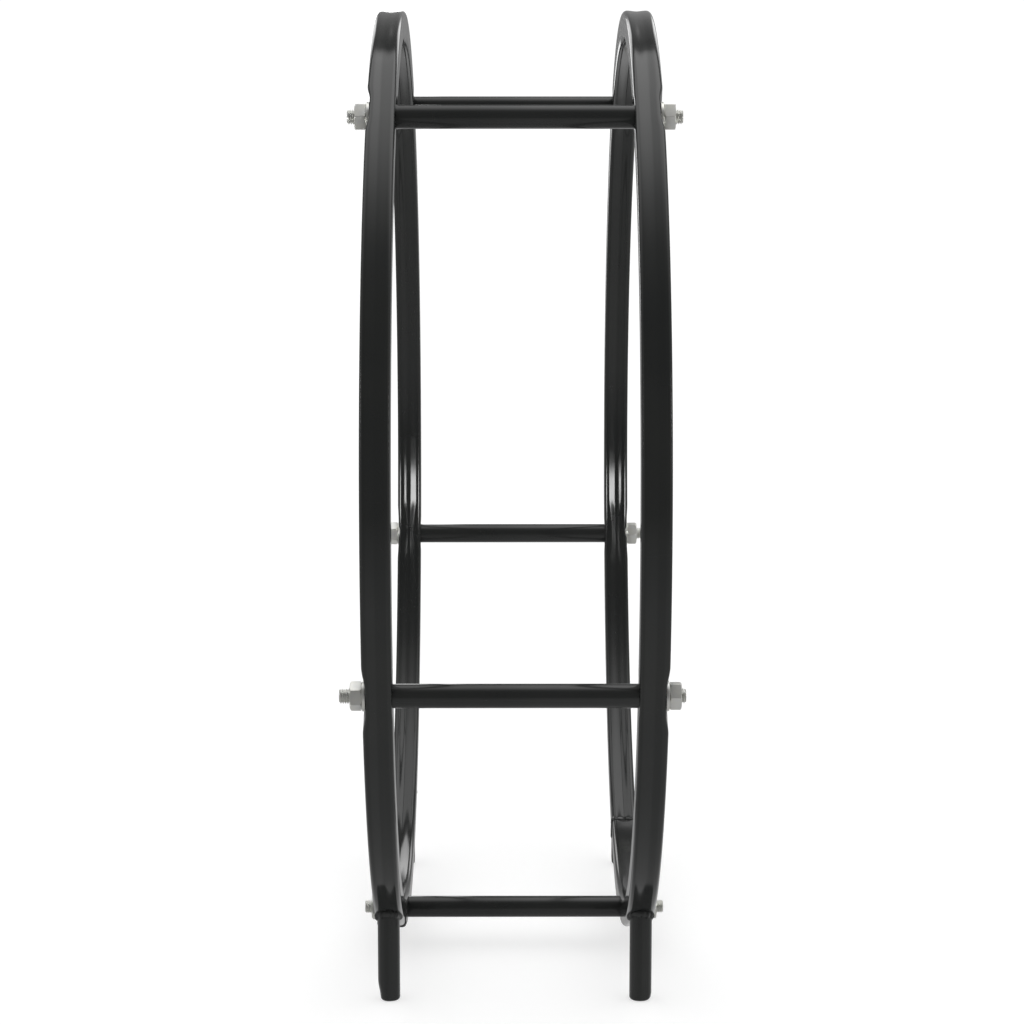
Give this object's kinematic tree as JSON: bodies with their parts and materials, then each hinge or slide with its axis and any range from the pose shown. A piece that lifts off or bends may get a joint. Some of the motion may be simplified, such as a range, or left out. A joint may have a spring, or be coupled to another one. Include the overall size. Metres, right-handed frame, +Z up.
{
  "type": "firewood log rack",
  "caption": "Round black steel rack for firewood logs: two upright hoops of square tube joined by bolted crossbars, on short welded feet.",
  "frame": {"origin": "on the floor, midway between the two hoops and under their centre", "axes": "+Z up; -Y is the front edge of the hoops; +X is the right as seen from the front, across the hoops"},
  "size_m": [0.23, 0.684, 0.7],
  "materials": {
    "black_powder_coat": "semi-gloss black powder coat",
    "black_weld": "weld bead under semi-gloss black powder coat",
    "zinc_plate": "bright zinc plate, lightly brushed",
    "zinc_thread": "zinc plated rolled thread"
  },
  "bodies": {
    "root": {"left_hoop": "black_powder_coat", "left_hoop_seam": "black_weld", "left_front_foot": "black_powder_coat", "left_front_foot_weld": "black_weld", "left_rear_foot": "black_powder_coat", "left_rear_foot_weld": "black_weld", "right_hoop": "black_powder_coat", "right_hoop_seam": "black_weld", "right_front_foot": "black_powder_coat", "right_front_foot_weld": "black_weld", "right_rear_foot": "black_powder_coat", "right_rear_foot_weld": "black_weld", "bottom_spacer": "black_powder_coat", "bottom_rod": "zinc_thread", "bottom_left_washer": "zinc_plate", "bottom_left_nut": "zinc_plate", "bottom_right_washer": "zinc_plate", "bottom_right_nut": "zinc_plate", "front_middle_spacer": "black_powder_coat", "front_middle_rod": "zinc_thread", "front_middle_left_washer": "zinc_plate", "front_middle_left_nut": "zinc_plate", "front_middle_right_washer": "zinc_plate", "front_middle_right_nut": "zinc_plate", "front_top_spacer": "black_powder_coat", "front_top_rod": "zinc_thread", "front_top_left_washer": "zinc_plate", "front_top_left_nut": "zinc_plate", "front_top_right_washer": "zinc_plate", "front_top_right_nut": "zinc_plate", "rear_top_spacer": "black_powder_coat", "rear_top_rod": "zinc_thread", "rear_top_left_washer": "zinc_plate", "rear_top_left_nut": "zinc_plate", "rear_top_right_washer": "zinc_plate", "rear_top_right_nut": "zinc_plate", "rear_middle_spacer": "black_powder_coat", "rear_middle_rod": "zinc_thread", "rear_middle_left_washer": "zinc_plate", "rear_middle_left_nut": "zinc_plate", "rear_middle_right_washer": "zinc_plate", "rear_middle_right_nut": "zinc_plate"}
  },
  "joints": []
}
